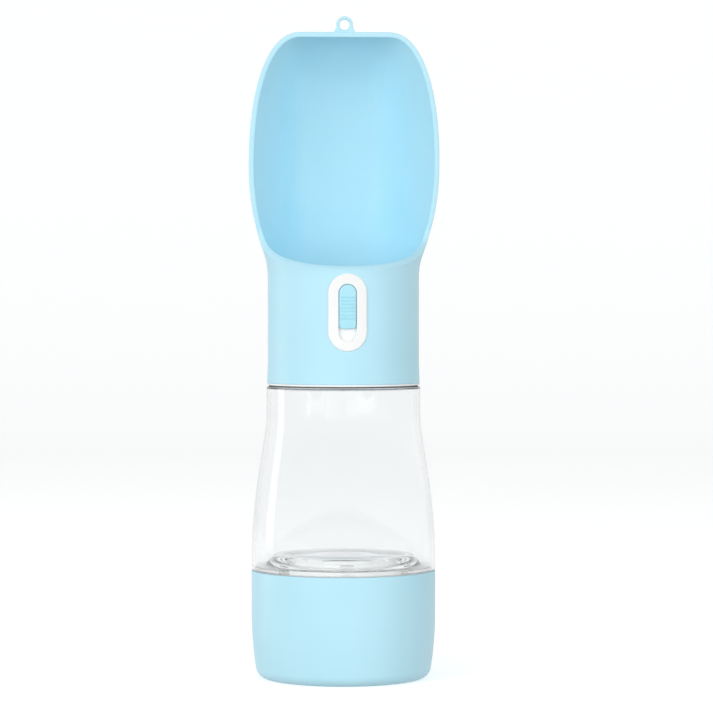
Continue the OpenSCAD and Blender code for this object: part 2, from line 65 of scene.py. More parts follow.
# Camera: a long lens just under the scoop's floor, a little to the left of the front. The lens and
# its sensor are in mm of film, azimuth is in degrees.
camera = {"distance": 1285, "azimuth": -3.2, "height": 161, "aimRight": 5.34, "aimHeight": 131.04,
    "lens": 159.2, "sensor": 36}
turn = math.radians(camera["azimuth"])
towards = Vector((-math.sin(turn), math.cos(turn), 0))
toRight = Vector((math.cos(turn), math.sin(turn), 0))
eye = -towards * camera["distance"] + Vector((0, 0, camera["height"]))
aim = toRight * camera["aimRight"] + Vector((0, 0, camera["aimHeight"]))
cameraData = bpy.data.cameras.new("camera")
cameraData.lens = camera["lens"]
cameraData.sensor_width = camera["sensor"]
cameraData.clip_end = 50
cameraObject = bpy.data.objects.new("camera", cameraData)
cameraObject.location = eye * mm
cameraObject.rotation_euler = (aim - eye).to_track_quat("-Z", "Y").to_euler()
bpy.context.scene.collection.objects.link(cameraObject)
bpy.context.scene.camera = cameraObject


# sRGB hex to linear: each channel over 0.04045 is ((c + 0.055) / 1.055) to the power 2.4
def linear(colour):
    share = np.array([int(colour[i:i + 2], 16) for i in (1, 3, 5)]) / 255
    low = share / 12.92
    high = ((share + 0.055) / 1.055) ** 2.4
    return tuple(np.where(share > 0.04045, high, low)) + (1.0,)


# Adds one node: settings are its properties, and inputs maps a socket to a value or to another
# node's socket
def addNode(tree, kind, inputs={}, **settings):
    made = tree.nodes.new(kind)
    for key, value in settings.items():
        setattr(made, key, value)
    for key, value in inputs.items():
        if isinstance(value, bpy.types.NodeSocket):
            tree.links.new(value, made.inputs[key])
        else:
            made.inputs[key].default_value = value
    return made


# Noise whose marks are about sizeMm wide: one cycle is 1 / scale metres
def addNoise(tree, place, sizeMm, detail, roughness):
    return addNode(tree, "ShaderNodeTexNoise", {"Vector": place, "Scale": 1000 / sizeMm, "Detail": detail,
        "Roughness": roughness}).outputs["Fac"]


# A moulded finish: a fine spark-eroded grain, soft shifts of colour and gloss, faint wiping marks
def mouldedMaterial(name, look):
    made = bpy.data.materials.new(name)
    made.use_nodes = True
    tree = made.node_tree
    tree.nodes.clear()
    place = addNode(tree, "ShaderNodeTexCoord").outputs["Object"]
    grain = addNoise(tree, place, look["grainMm"], 2.0, 0.6)
    cloud = addNoise(tree, place, look["cloudMm"], 3.0, 0.5)
    # wiping marks run upwards, about eight times as long as they are wide
    stretch = addNode(tree, "ShaderNodeMapping", {"Vector": place, "Scale": (1, 1, 0.12)})
    wipe = addNoise(tree, stretch.outputs[0], look["wipeMm"], 4.0, 0.7)
    colour = addNode(tree, "ShaderNodeMapRange", {"Value": cloud, "From Min": 0.3, "From Max": 0.7})
    # sockets 6 and 7 of a colour mix are its two colours
    tint = addNode(tree, "ShaderNodeMix", {"Factor": colour.outputs[0], 6: linear(look["deep"]),
        7: linear(look["light"])}, data_type="RGBA")
    marks = addNode(tree, "ShaderNodeMath", {0: grain, 1: wipe}, operation="ADD")
    rough = addNode(tree, "ShaderNodeMapRange", {"Value": marks.outputs[0], "From Min": 0.6,
        "From Max": 1.4, "To Min": look["rough"][0], "To Max": look["rough"][1]})
    bump = addNode(tree, "ShaderNodeBump", {"Height": grain, "Strength": look["bump"],
        "Distance": look["bumpMm"] * mm})
    shader = addNode(tree, "ShaderNodeBsdfPrincipled", {"Base Color": tint.outputs[2],
        "Roughness": rough.outputs[0], "Normal": bump.outputs[0], "IOR": look["ior"]})
    for key, value in look.get("sockets", {}).items():
        shader.inputs[key].default_value = value
    addNode(tree, "ShaderNodeOutputMaterial", {"Surface": shader.outputs[0]})
    return made


# Each look gives two close colours, the range of roughness, the widths of grain, clouds and wiping
# marks, the grain's depth, and the refraction of the plastic. These three are shared.
eroded = {"grainMm": 0.35, "bump": 0.12, "bumpMm": 0.02, "ior": 1.54}
waxy = {"rough": (0.38, 0.5), "grainMm": 0.5, "cloudMm": 20, "wipeMm": 8, "bump": 0.06, "bumpMm": 0.015,
    "ior": 1.49}
rubbery = {"grainMm": 0.4, "cloudMm": 9, "wipeMm": 4, "bump": 0.1, "bumpMm": 0.02, "ior": 1.41}
# ABS, injection moulded on a finely eroded tool: satin, pale blue, with a soft highlight. The real
# grain is about 0.05 mm, drawn here at 0.35 mm so that it shows.
satinAbs = mouldedMaterial("satinMouldedAbsBlue", {"deep": "#B6E5F4", "light": "#BCE8F7",
    "rough": (0.36, 0.48), "cloudMm": 30, "wipeMm": 9, **eroded})
cupAbs = mouldedMaterial("satinMouldedAbsCup", {"deep": "#B6E5F4", "light": "#BCE8F7", "rough": (0.34, 0.46),
    "cloudMm": 34, "wipeMm": 11, **eroded})
# The thumb slider: the same ABS, a shade deeper and worn a little smoother by the thumb
sliderAbs = mouldedMaterial("thumbWornAbsBlue", {"deep": "#A8E2F1", "light": "#B0E6F5", "rough": (0.28, 0.4),
    "grainMm": 0.3, "cloudMm": 7, "wipeMm": 3, "bump": 0.08, "bumpMm": 0.015, "ior": 1.54})
# White ABS from a polished tool: bright, with a clear highlight
whiteAbs = mouldedMaterial("polishedMouldedAbsWhite", {"deep": "#F0F2F2", "light": "#F5F6F5",
    "rough": (0.18, 0.27), "grainMm": 0.6, "cloudMm": 12, "wipeMm": 5, "bump": 0.05, "bumpMm": 0.01,
    "ior": 1.54})
# Natural polypropylene: milky and waxy, lit a little from inside
naturalPp = mouldedMaterial("naturalMouldedPolypropylene", {"deep": "#F3F5F5", "light": "#F8FAF9", **waxy})
# The same, painted grey where the lugs back it: painted shade behind the lugs, seen as grey patches through
# the clear floor
lugShadePp = mouldedMaterial("naturalPolypropylenePaintedLugShade", {"deep": "#A9AEB0", "light": "#B2B6B8", **waxy})
# Silicone rubber, compression moulded: soft matt surface with a little dust in its gloss
softSilicone = mouldedMaterial("mouldedSiliconeMilky", {"deep": "#E2E6E6", "light": "#EBEEEE",
    "rough": (0.5, 0.64), **rubbery})
whiteSilicone = mouldedMaterial("mouldedSiliconeWhite", {"deep": "#F8F9F9", "light": "#FBFBFA",
    "rough": (0.45, 0.58), **rubbery})
# The groove under the head's seal: painted shade, dark grey for the shade that always lies in it, so that the
# eye sees a dark line
paintedShadeGrooveSilicone = mouldedMaterial("siliconeGroovePaintedShade", {"deep": "#62696B", "light": "#6E7577",
    "rough": (0.6, 0.75), **rubbery})
# Nitrile rubber O-rings: near black, greased, with a broken sheen
nitrile = mouldedMaterial("greasedNitrileRubber", {"deep": "#26292B", "light": "#313538",
    "rough": (0.3, 0.55), "grainMm": 0.5, "cloudMm": 4, "wipeMm": 2, "bump": 0.15, "bumpMm": 0.02,
    "ior": 1.52})
# Stainless steel, drawn wire and cold-headed screws: fine marks along the work
drawnSteel = mouldedMaterial("drawnStainlessSteel", {"deep": "#B9BDBF", "light": "#CDD0D1",
    "rough": (0.2, 0.36), "grainMm": 0.25, "cloudMm": 3, "wipeMm": 1.2, "bump": 0.1, "bumpMm": 0.01,
    "ior": 1.5, "sockets": {"Metallic": 1.0}})


# Clear styrene copolymer, blown and polished: water-white, grey only where the wall is seen edge on
def clearMaterial(name, look):
    made = bpy.data.materials.new(name)
    made.use_nodes = True
    tree = made.node_tree
    tree.nodes.clear()
    place = addNode(tree, "ShaderNodeTexCoord").outputs["Object"]
    wave = addNoise(tree, place, look["waveMm"], 1.0, 0.5)
    smear = addNoise(tree, place, look["smearMm"], 5.0, 0.65)
    rough = addNode(tree, "ShaderNodeMapRange", {"Value": smear, "From Min": 0.45,
        "From Max": 0.75, "To Min": look["rough"][0], "To Max": look["rough"][1]})
    bump = addNode(tree, "ShaderNodeBump", {"Height": wave, "Strength": look["bump"],
        "Distance": look["bumpMm"] * mm})
    shader = addNode(tree, "ShaderNodeBsdfPrincipled", {"Base Color": linear(look["colour"]),
        "Roughness": rough.outputs[0], "Normal": bump.outputs[0], "IOR": look["ior"],
        "Transmission Weight": 1.0})
    soak = addNode(tree, "ShaderNodeVolumeAbsorption", {"Color": linear(look["edge"]),
        "Density": look["density"]})
    # rays that carry light to what stands behind the clear wall go straight through it
    path = addNode(tree, "ShaderNodeLightPath").outputs
    carries = addNode(tree, "ShaderNodeMath", {0: path["Is Shadow Ray"], 1: path["Is Diffuse Ray"]},
        operation="MAXIMUM")
    through = addNode(tree, "ShaderNodeBsdfTransparent", {"Color": linear(look["shade"])})
    surface = addNode(tree, "ShaderNodeMixShader", {0: carries.outputs[0], 1: shader.outputs[0],
        2: through.outputs[0]})
    addNode(tree, "ShaderNodeOutputMaterial", {"Surface": surface.outputs[0], "Volume": soak.outputs[0]})
    return made


polished = {"shade": "#FFFFFF", "rough": (0.0, 0.03), "ior": 1.5, "waveMm": 40, "smearMm": 14,
    "bump": 0.03, "bumpMm": 0.05}
clearTank = clearMaterial("polishedClearStyrene", {"colour": "#FDFEFE", "edge": "#BDC1C4", "density": 26.0,
    **polished})
# The welded floor: the same plastic, thin and unstressed, so that it hides less of what is under it
clearFloor = clearMaterial("polishedClearStyreneFloor", {"colour": "#FFFFFF", "edge": "#C9CDD0",
    "density": 4.0, **polished})
print("materials made:", len(bpy.data.materials))


# Quads of a grid of rows x cols points: point (i, j) is number i * cols + j
def gridFaces(rows, cols, closeRows=False, closeCols=False):
    i = np.arange(rows if closeRows else rows - 1)[:, None]
    j = np.arange(cols if closeCols else cols - 1)[None, :]
    iNext, jNext = (i + 1) % rows, (j + 1) % cols
    quads = [i * cols + j, i * cols + jNext, iNext * cols + jNext, iNext * cols + j]
    return np.stack(np.broadcast_arrays(*quads), axis=-1).reshape(-1, 4)


# How near points are to be merged, and how short an edge is to be dropped, in metres
mergeWithin, flatWithin = 2e-7, 1e-8


# One mesh object from shells of (points in mm, quads). Doubles are merged, which closes seams and
# poles, and each closed shell is turned to face outwards.
def makePiece(name, shells, material, body, replaced, crease=35):
    points = np.concatenate([p.reshape(-1, 3) for p, _ in shells]) * mm
    starts = np.cumsum([0] + [p.reshape(-1, 3).shape[0] for p, _ in shells])
    quads = np.concatenate([f + start for (_, f), start in zip(shells, starts)])
    mesh = bpy.data.meshes.new(name)
    mesh.from_pydata(points.tolist(), [], quads.tolist())
    work = bmesh.new()
    work.from_mesh(mesh)
    bmesh.ops.remove_doubles(work, verts=work.verts, dist=mergeWithin)
    bmesh.ops.dissolve_degenerate(work, edges=work.edges, dist=flatWithin)
    bmesh.ops.recalc_face_normals(work, faces=work.faces)
    openEdges = sum(len(e.link_faces) != 2 for e in work.edges)
    work.to_mesh(mesh)
    work.free()
    mesh.polygons.foreach_set("use_smooth", np.ones(len(mesh.polygons), bool))
    mesh.set_sharp_from_angle(angle=math.radians(crease))
    mesh.materials.append(material)
    piece = bpy.data.objects.new(name, mesh)
    bpy.context.scene.collection.objects.link(piece)
    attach(piece, body)
    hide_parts(*replaced)
    print(f"{name}: {len(mesh.polygons)} faces, {openEdges} open edges")
    return piece


# Middles of a piece's faces in mm: rows x, y and z
def faceCentres(piece):
    centres = np.zeros(3 * len(piece.data.polygons))
    piece.data.polygons.foreach_get("center", centres)
    return centres.reshape(-1, 3).T / mm


# Gives the chosen faces a second material
def paintFaces(piece, material, chosen):
    piece.data.materials.append(material)
    piece.data.polygons.foreach_set("material_index", chosen.astype(np.int32))


# Cubic curve: a(1-t)^3 + 3bt(1-t)^2 + 3ct^2(1-t) + dt^3
def cubic(a, b, c, d, t):
    return a * (1 - t) ** 3 + 3 * b * t * (1 - t) ** 2 + 3 * c * t ** 2 * (1 - t) + d * t ** 3


# Eased step: u^2 (3 - 2u) between 0 and 1
def ease(u):
    u = np.clip(u, 0, 1)
    return u * u * (3 - 2 * u)


# Closed outline from corners (r, z, rounding): each rounding is an arc tangent to its two sides
def softOutline(corners, steps=5):
    corners = np.array(corners, float)
    parts = []
    for before, (x, z, radius), after in zip(np.roll(corners, 1, 0), corners, np.roll(corners, -1, 0)):
        here = np.array([x, z])
        back, on = before[:2] - here, after[:2] - here
        if radius <= 0:
            parts.append(here[None])
            continue
        shortest = min(np.linalg.norm(back), np.linalg.norm(on))
        back, on = back / np.linalg.norm(back), on / np.linalg.norm(on)
        half = math.acos(np.clip(back @ on, -1, 1)) / 2
        reach = min(radius / math.tan(half), 0.49 * shortest)
        centre = here + (back + on) / np.linalg.norm(back + on) * reach / math.cos(half)
        sweep = math.pi - 2 * half
        t = np.linspace(0, 1, steps + 1)[:, None]
        arms = here + back * reach - centre, here + on * reach - centre
        parts.append(centre + (np.sin((1 - t) * sweep) * arms[0] + np.sin(t * sweep) * arms[1])
            / math.sin(sweep))
    return np.concatenate(parts)


# Profile (r, z) turned about an upright axis: x = cx + r sin a, y = cy - r cos a
def revolve(profile, centre=(0, 0), steps=168):
    profile = np.asarray(profile, float)
    a = np.linspace(0, 2 * np.pi, steps, endpoint=False)
    r, z = profile[:, :1], profile[:, 1:]
    x, y = centre[0] + r * np.sin(a), centre[1] - r * np.cos(a)
    # a profile that starts on the axis is closed by its poles, any other by a last row of quads
    return (np.stack(np.broadcast_arrays(x, y, z + 0 * a), -1),
        gridFaces(len(profile), steps, profile[0, 0] > 1e-9, True))


# Soft-edged block bent round the axis: angle, radius and height each run over a squared ellipse,
# half * sign(c)|c|^power, so that the block closes in a pole at each end
def bentBlock(angle, halfAngle, inner, outer, low, high, power=0.22, rows=15, cols=24):
    u = np.linspace(-np.pi / 2, np.pi / 2, rows)[:, None]
    v = np.linspace(0, 2 * np.pi, cols, endpoint=False)[None, :]
    soft = lambda c: np.sign(c) * np.where(np.abs(c) < 1e-9, 0, np.abs(c)) ** power
    a = np.radians(angle) + np.radians(halfAngle) * soft(np.sin(u)) + 0 * v
    r = (inner + outer) / 2 + (outer - inner) / 2 * soft(np.cos(u)) * soft(np.cos(v))
    z = (low + high) / 2 + (high - low) / 2 * soft(np.cos(u)) * soft(np.sin(v))
    return np.stack([r * np.sin(a), -r * np.cos(a), z], -1), gridFaces(rows, cols, False, True)


# Closed ring of a rectangular section, rounded below and above, turned about an upright axis
def softRing(size, centre=(0, 0), steps=168):
    inner, outer, low, high = size["inner"], size["outer"], size["low"], size["high"]
    roundLow, roundHigh = size["roundLow"], size["roundHigh"]
    return revolve(softOutline([(inner, low, roundLow), (outer, low, size.get("footRound", roundLow)),
        (outer, high, roundHigh), (inner, high, roundHigh)]), centre, steps)


# Food cup. It has a dimple in the middle of its foot, where the mould was filled, and two loops of
# points that hold its upper wall straight.
cup = {"radius": 37.5, "height": 44.1, "wall": 1.8, "base": 2.2, "draw": 1.7, "drawHeight": 26, "round": 5,
    "lean": 9, "ledge": 41.9, "step": 0.6, "footRing": 27.5, "footRecess": 0.6, "dimple": 2.4,
    "dimpleZ": 0.35, "wallLoops": (30, 36)}


# Side of the cup with a wall taken off: an arc at the foot that ends as the side leans out, then a
# cubic curve that leaves it at that lean and ends upright at full width
def cupSide(inset):
    foot, round, top = cup["radius"] - cup["draw"], cup["round"], cup["drawHeight"]
    lean = math.radians(cup["lean"])
    a = np.linspace(-np.pi / 2, -lean, 13)
    corner = np.stack([foot - round + (round - inset) * np.cos(a), round + (round - inset) * np.sin(a)], -1)
    # the inside's first points would fold back, so it leaves them out
    t = np.linspace(0, 1, 33)[(1 if inset == 0 else 3):]
    startX, startZ = foot - round * (1 - math.cos(lean)), round * (1 - math.sin(lean))
    pull = (top - round) / 4
    side = np.stack([cubic(startX, startX + pull * math.sin(lean), cup["radius"], cup["radius"], t) - inset,
        cubic(startZ, startZ + pull * math.cos(lean), startZ + 0.6 * (top - startZ), top, t)], -1)
    return np.concatenate([corner, side])


rimZ, bore = cup["height"], cup["radius"] - cup["wall"]
stepRadius = bore + cup["step"]
lowLoop, highLoop = cup["wallLoops"]
inside = cupSide(cup["wall"])
inside[:, 1] = np.maximum(inside[:, 1], cup["base"])
cupProfile = np.concatenate([
    [[0, cup["dimpleZ"]], [cup["dimple"], cup["dimpleZ"]], [cup["dimple"] + 0.3, cup["footRecess"]],
        [cup["footRing"] - 1, cup["footRecess"]],
        [cup["footRing"] - 0.4, cup["footRecess"] - 0.2], [cup["footRing"], 0.1], [cup["footRing"] + 0.5, 0]],
    cupSide(0),
    [[cup["radius"], lowLoop], [cup["radius"], highLoop], [cup["radius"], rimZ - 0.5],
        [cup["radius"] - 0.06, rimZ - 0.2], [cup["radius"] - 0.2, rimZ - 0.06], [cup["radius"] - 0.5, rimZ],
        [stepRadius, rimZ], [stepRadius, cup["ledge"]], [bore, cup["ledge"]], [bore, lowLoop]],
    inside[::-1],
    [[12, cup["base"]], [0, cup["base"]]]])
makePiece("foodCup", [revolve(cupProfile)], cupAbs, "cup", ["food_cup"])

# The collar's lugs are 60 degrees apart and reach lugHalf degrees to each side. Its inner wall is painted
# grey behind each of them, from a little below the lugs up to its top: painted shade.
collar = {"outer": 24.5, "inner": 22.7, "plateOuter": 36.25, "low": 41.9, "plateTop": 44.1, "top": 48.8,
    "grooveInner": 29.65, "grooveOuter": 33.35, "grooveZ": 43.1, "lugReach": 25.9, "lugLow": 46.9,
    "lugTop": 48.5, "lugHalf": 22, "lugShadeZ": 45.9}
collarProfile = softOutline([(collar["inner"], collar["low"], 0.3), (collar["plateOuter"], collar["low"], 0),
    (collar["plateOuter"], collar["plateTop"], 0.2), (collar["grooveOuter"], collar["plateTop"], 0.1),
    (collar["grooveOuter"], collar["grooveZ"], 0.1), (collar["grooveInner"], collar["grooveZ"], 0.1),
    (collar["grooveInner"], collar["plateTop"], 0.1), (collar["outer"], collar["plateTop"], 0.5),
    (collar["outer"], collar["top"], 0.45), (collar["inner"], collar["top"], 0.45),
    (collar["inner"], collar["lugShadeZ"], 0)])
lugs = [bentBlock(60 * i, collar["lugHalf"], collar["outer"] - 0.4, collar["lugReach"], collar["lugLow"],
    collar["lugTop"]) for i in range(6)]
collarPiece = makePiece("cupCollar", [revolve(collarProfile)] + lugs, naturalPp, "cup",
    ["cup_collar"])
# grey faces on the collar's inner wall behind the lugs: painted shade
x, y, z = faceCentres(collarPiece)
offLug = np.abs((np.degrees(np.arctan2(x, -y)) + 30) % 60 - 30)
paintFaces(collarPiece, lugShadePp, (offLug < collar["lugHalf"]) & (np.hypot(x, y) < collar["inner"] + 0.05)
    & (z > collar["lugShadeZ"]))

cupSeal = {"inner": 29.7, "outer": 33.3, "low": 43.1, "high": 44.6, "roundLow": 0.2, "roundHigh": 0.35}
makePiece("cupSeal", [softRing(cupSeal)], softSilicone, "cup", ["cup_seal"])

# Water tank. Its shoulder is a thin roof, and its walls are straight for a little way beside each
# corner, so that the corners don't bend the light in the walls.
tank = {"foot": 44.6, "shoulder": 119.0, "waistZ": 107.0, "radius": 37.5, "waist": 31.35, "wall": 1.8,
    "mouth": 28.2, "mouthTop": 131.0, "flange": 46.1, "threadLow": 121.4, "threadHigh": 129.6,
    "lead": 3.2, "threadProud": 0.38, "threadRows": 45, "shoulderRound": 0.4, "roof": 0.55, "steps": 240}


# Side of the tank with a wall taken off: one cubic curve from the straight foot to the straight waist
def tankSide(inset):
    t = np.linspace(0, 1, 61)
    return np.stack([cubic(tank["radius"], tank["radius"], tank["waist"], tank["waist"], t) - inset,
        cubic(tank["foot"] + 3.4, (tank["foot"] + tank["waistZ"]) / 2, tank["waistZ"] - 9,
            tank["waistZ"], t)], -1)


# Screw ridge on a turned surface: proud * (0.5 + 0.5 cos(2 pi (z / lead - a / 2 pi)))^2, faded at its ends
def addThread(points, axisSign, low, high, proud, lead, shift):
    x, y, z = points[..., 0], points[..., 1], points[..., 2]
    a = np.arctan2(x, -y) / (2 * np.pi)
    fade = ease((z - low) / 1.2) * ease((high - z) / 1.2)
    r = np.hypot(x, y)
    ridge = proud * (0.5 + 0.5 * np.cos(2 * np.pi * (z / lead - a + shift))) ** 2 * fade
    scale = np.where(r > 0, 1 + axisSign * ridge / np.maximum(r, 1), 1)
    points[..., 0], points[..., 1] = x * scale, y * scale


corner = np.radians(np.linspace(0, 90, 7))[:, None]
soft, waist, shoulder = tank["shoulderRound"], tank["waist"], tank["shoulder"]
outside, inside = tank["radius"], tank["radius"] - tank["wall"]
mouth, mouthBore, mouthTop = tank["mouth"], tank["mouth"] - tank["wall"], tank["mouthTop"]
shoulderArc = np.hstack([waist - soft + soft * np.cos(corner), shoulder - soft + soft * np.sin(corner)])
threadZ = np.linspace(shoulder + 1.4, mouthTop - 1, tank["threadRows"])
tankProfile = np.concatenate([
    [[outside - 0.35, tank["foot"]], [outside - 0.1, tank["foot"] + 0.1], [outside, tank["foot"] + 0.35],
        [outside, tank["foot"] + 0.6]],
    tankSide(0),
    [[waist, shoulder - soft - 0.25]],
    shoulderArc,
    [[mouth + 0.5, shoulder], [mouth + 0.15, shoulder + 0.15], [mouth, shoulder + 0.5]],
    np.stack([np.full(tank["threadRows"], mouth), threadZ], -1),
    [[mouth, mouthTop - 0.4], [mouth - 0.12, mouthTop - 0.12], [mouth - 0.4, mouthTop],
        [mouthBore + 0.4, mouthTop], [mouthBore + 0.12, mouthTop - 0.12], [mouthBore, mouthTop - 0.4],
        [mouthBore, shoulder - tank["roof"] + 0.1], [mouthBore + 0.1, shoulder - tank["roof"]],
        [waist - 2.1, shoulder - tank["roof"]], [waist - 1.9, shoulder - tank["roof"] - 0.1],
        [waist - tank["wall"], shoulder - tank["roof"] - 0.3],
        [waist - tank["wall"], shoulder - tank["roof"] - 0.55]],
    tankSide(tank["wall"])[::-1],
    [[inside, tank["flange"] + 0.25], [inside, tank["flange"]], [inside + 0.6, tank["flange"]],
        [inside + 0.6, tank["foot"]]]])
tankPoints, tankFaces = revolve(tankProfile, steps=tank["steps"])
onMouth = ((np.hypot(tankPoints[..., 0], tankPoints[..., 1]) > mouth - 0.01)
    & (tankPoints[..., 2] > shoulder + 1))
threaded = tankPoints.copy()
addThread(threaded, 1, tank["threadLow"], tank["threadHigh"], tank["threadProud"], tank["lead"], 0)
tankPoints = np.where(onMouth[..., None], threaded, tankPoints)
makePiece("waterTank", [(tankPoints, tankFaces)], clearTank, "tank", ["water_tank"], 30)

# Floor of the tank: a flange, a soft slope up to the platform and, from below, the collar's recess
# with its six tabs
floor = {"outer": 36.25, "low": 44.6, "flange": 46.1, "roof": 49.1, "recess": 26.3, "top": 50.6,
    "wall": 1.5, "tabLow": 44.7, "tabTop": 46.6, "tabInner": 24.8, "tabHalf": 6}
t = np.linspace(0, 1, 17)
platform = floor["recess"] + floor["wall"]
floorSide = np.stack([cubic(inside - 1.5, platform + 2.6, platform + 2.2, platform - 0.6, t),
    cubic(floor["flange"], floor["flange"] + 0.4, floor["top"], floor["top"], t)], -1)
floorProfile = np.concatenate([
    [[0, floor["roof"]], [12, floor["roof"]], [floor["recess"] - 0.5, floor["roof"]],
        [floor["recess"] - 0.15, floor["roof"] - 0.15], [floor["recess"], floor["roof"] - 0.5],
        [floor["recess"], floor["low"]], [floor["outer"], floor["low"]], [floor["outer"], floor["flange"]]],
    floorSide,
    [[12, floor["top"]], [0, floor["top"]]]])
tabs = [bentBlock(60 * i, floor["tabHalf"], floor["tabInner"], floor["recess"] + 0.02, floor["tabLow"],
    floor["tabTop"]) for i in range(6)]
makePiece("tankFloor", [revolve(floorProfile)] + tabs, clearFloor, "tank",
    ["tank_floor"], 30)

# Seal between head and tank, with a groove under its outer edge that is painted dark as painted shade
headSeal = {"inner": 28.5, "low": 119.04, "groove": 30.4, "grooveTop": 119.6, "outer": 31.1, "high": 120.3}
headSealProfile = softOutline([(headSeal["inner"], headSeal["low"], 0.1),
    (headSeal["groove"], headSeal["low"], 0.1), (headSeal["groove"], headSeal["grooveTop"], 0),
    (headSeal["outer"], headSeal["grooveTop"], 0.15), (headSeal["outer"], headSeal["high"], 0.15),
    (headSeal["inner"], headSeal["high"], 0.1)])
sealPiece = makePiece("headSeal", [revolve(headSealProfile)], whiteSilicone, "head_seals",
    ["head_seal"])
# dark faces in the groove under the seal: painted shade
x, y, z = faceCentres(sealPiece)
paintFaces(sealPiece, paintedShadeGrooveSilicone, (np.hypot(x, y) > headSeal["inner"] + 0.3)
    & (z < headSeal["grooveTop"] + 0.01))
mouthSeal = {"inner": 25.4, "outer": 28.2, "low": 131.0, "high": 132.0, "roundLow": 0.2, "roundHigh": 0.2}
makePiece("mouthSeal", [softRing(mouthSeal)], softSilicone, "head_seals", ["mouth_seal"])
print("cup and tank made")

# Scoop head. The shares say where a thing lies between 0 and 1 of its run, and the powers how
# squarely a curve turns.
scoop = {"neck": 30.8, "skirtZ": 120.3, "flare": 0.3, "skirtBore": 28.7, "ledge": 134.2, "bore": 27.6,
    "deck": 165.2, "deckUnder": 163.2, "port": 4.5, "portY": -8.0, "height": 97.0, "halfWidth": 38.7,
    "wideHeight": 42.8, "topHalf": 17.5, "back": 33.5, "wall": 2.1, "rimStart": 4.0, "rimLean": 10.5,
    "backShare": 0.52, "lipShare": 0.03, "lipRise": 2.0, "footSink": 0.3, "shapePower": 2.25, "lipPower": 2.0,
    "lipBow": 17.0, "cornerPower": 6, "blend": 26.0, "crown": 2.5, "fillet": 1.8, "rimBulge": 0.55,
    "rimPower": 0.62, "portRound": 0.5, "threadLow": 121.5, "threadHigh": 131.0, "threadProud": 0.3,
    "columns": 80, "lowerRows": 46, "upperRows": 40}
topZ = scoop["deck"] + scoop["height"]
wideZ = scoop["deck"] + scoop["wideHeight"]


# Half width, height and back of the scoop's rows. Shares up to 1 follow cubic curves from the round
# neck to the widest place; above 1 they follow a squared ellipse of power shapePower to the top edge,
# and the wall is taken off along its normal, (cos^(2 - 2/p) / reach, sin^(2 - 2/p) / rise).
def scoopRows(share, inset):
    neck, high = scoop["neck"] + 0.1, scoop["wideHeight"]
    s = np.minimum(share, 1)
    lift = scoop["lipRise"] * np.clip(1 - (s - scoop["lipShare"]) / 0.6, 0, None) * (inset > 0) * (s > 0)
    lowerW = cubic(neck, neck, scoop["halfWidth"], scoop["halfWidth"], s) - inset
    lowerZ = cubic(scoop["deck"] - scoop["footSink"], scoop["deck"] + 0.165 * high,
        scoop["deck"] + 0.45 * high, wideZ, s) + lift
    lowerB = cubic(neck, neck, scoop["back"], scoop["back"], s) - 0.9 * inset
    a = np.pi / 2 * np.clip(share - 1, 0, 1)
    power, rise, reach = scoop["shapePower"], topZ - wideZ, scoop["halfWidth"] - scoop["topHalf"]
    cosine = np.where(a > 1.5707, 0, np.cos(a))
    up, out = np.sin(a) ** (2 / power), cosine ** (2 / power)
    normalX, normalZ = cosine ** (2 - 2 / power) / reach, np.sin(a) ** (2 - 2 / power) / rise
    size = np.hypot(normalX, normalZ)
    upperW = scoop["topHalf"] + reach * out - inset * normalX / size
    upperZ = wideZ + rise * up - inset * normalZ / size
    upperB = (scoop["crown"] - scoop["rimLean"] + (scoop["back"] + scoop["rimLean"] - scoop["crown"]) * out
        - 0.9 * inset * (0.4 + 0.6 * out))
    lower = share <= 1
    return np.where(lower, lowerW, upperW), np.where(lower, lowerZ, upperZ), np.where(lower, lowerB, upperB)


# Front-to-back place of the rim: level over the lower bow, then leaning forward to the top
def rimY(z):
    rise = np.clip(z - scoop["deck"] - scoop["lipBow"], 0, None) / (scoop["height"] - scoop["lipBow"])
    return -scoop["rimStart"] - (scoop["rimLean"] - scoop["rimStart"]) * rise


# Skin of the scoop at shares s (rows) and t from rim to rim (columns): a circle that opens at the
# front as the rim's bow widens, blended into a trough whose flat back meets the sides in a soft corner
def scoopSkin(share, t, inset):
    w, z, back = (v[:, None] for v in scoopRows(share, inset))
    low = scoopRows(np.array([scoop["lipShare"]]), inset)[1][0]
    u = np.clip((z - low) / scoop["lipBow"], 0, 1)
    opening = np.pi - np.pi / 2 * (1 - (1 - u) ** scoop["lipPower"]) ** (1 / scoop["lipPower"])
    depth = back - rimY(z)
    side = np.abs(np.sin(np.pi / 2 * t))
    slope = np.maximum(depth * (1 - side) / (1 - scoop["backShare"]), 1e-6)
    power = scoop["cornerPower"]
    trough = (depth ** -power + slope ** -power) ** (-1 / power)
    mix = ease((z - low) / scoop["blend"])
    x = (1 - mix) * w * np.sin(opening * t) + mix * w * np.sin(np.pi / 2 * t)
    y = (1 - mix) * w * np.cos(opening * t) + mix * (rimY(z) + trough)
    return np.stack(np.broadcast_arrays(x, y, z + 0 * t), -1)


# Level circles (centre y, radius, height), one row each: x = r sin(pi t), y = cy + r cos(pi t)
def levelCircles(rows, t):
    cy, r, z = (np.array(v, float)[:, None] for v in zip(*rows))
    return np.stack(np.broadcast_arrays(r * np.sin(np.pi * t), cy + r * np.cos(np.pi * t), z + 0 * t), -1)


half = scoop["columns"]
t = np.linspace(-1, 1, 2 * half + 1)[None, :]
v = np.linspace(0, 1, scoop["lowerRows"] + 1)
openShares = np.concatenate([scoop["lipShare"] + (1 - scoop["lipShare"]) * v ** 2,
    1 + np.linspace(0, 1, scoop["upperRows"] + 1)[1:]])
outerOpen = scoopSkin(openShares, t, 0.0)
innerOpen = scoopSkin(openShares, t, scoop["wall"])
openRows = len(openShares)


